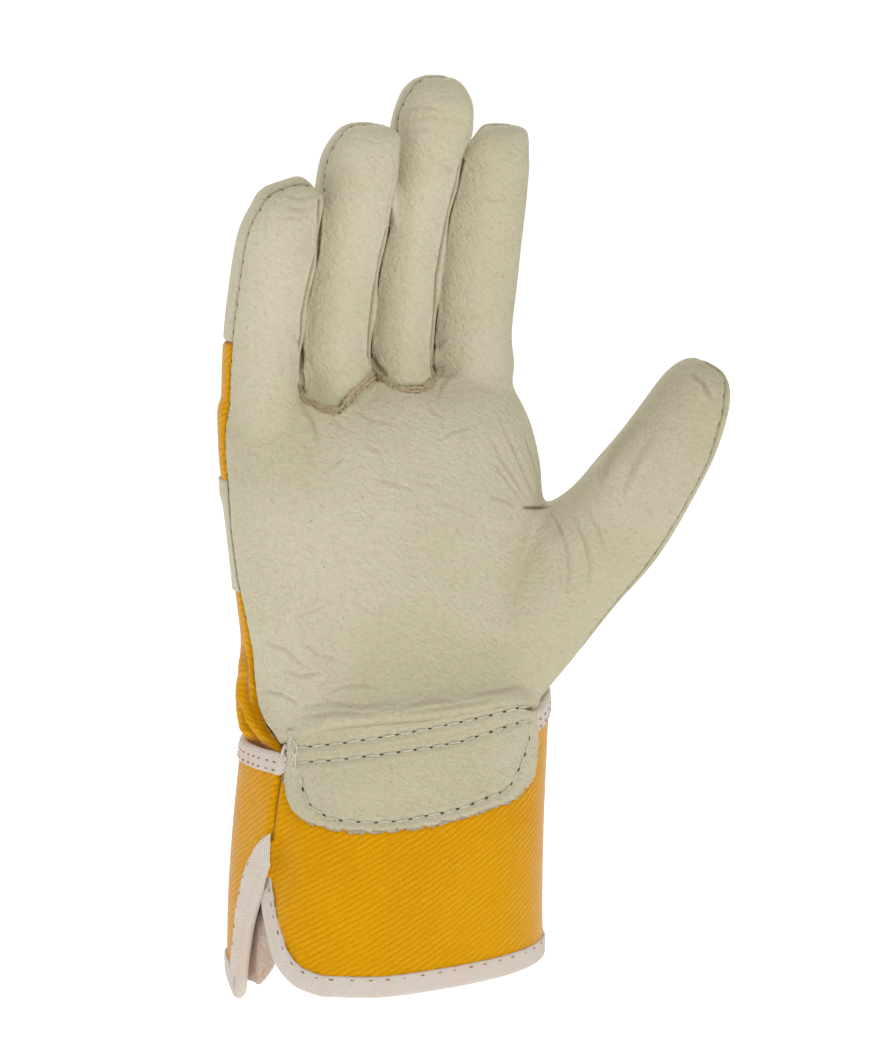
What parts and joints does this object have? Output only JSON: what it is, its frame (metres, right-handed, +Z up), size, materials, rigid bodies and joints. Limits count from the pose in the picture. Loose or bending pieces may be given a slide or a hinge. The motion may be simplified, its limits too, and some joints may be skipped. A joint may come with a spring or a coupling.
{
  "type": "winter work glove",
  "caption": "Work glove with a grain leather palm, a twill back, leather fingertip caps and knuckle strap, and a bound safety cuff with a side slit.",
  "frame": {"origin": "centre of the cuff's mouth, level with the hem", "axes": "+Z up the hand toward the fingertips, -Y out of the palm, +X toward the thumb"},
  "size_m": [0.1464, 0.0836, 0.2627],
  "materials": {
    "leather": "natural cream grain leather",
    "twill": "golden yellow cotton twill",
    "tape": "off-white woven tape",
    "lining": "pinkish beige lining cloth"
  },
  "bodies": {
    "root": {"palm": "leather", "ring_finger_front": "leather", "middle_finger_front": "leather", "back": "twill", "little_tip_cap": "leather", "ring_tip_cap": "leather", "middle_tip_cap": "leather", "index_tip_cap": "leather", "knuckle_strap": "leather", "thumb_back": "leather", "finger_base_welt": "leather", "cuff": "twill", "cuff_lining": "lining", "hem_binding": "tape", "top_binding": "tape", "pulse_patch": "leather"}
  },
  "joints": []
}
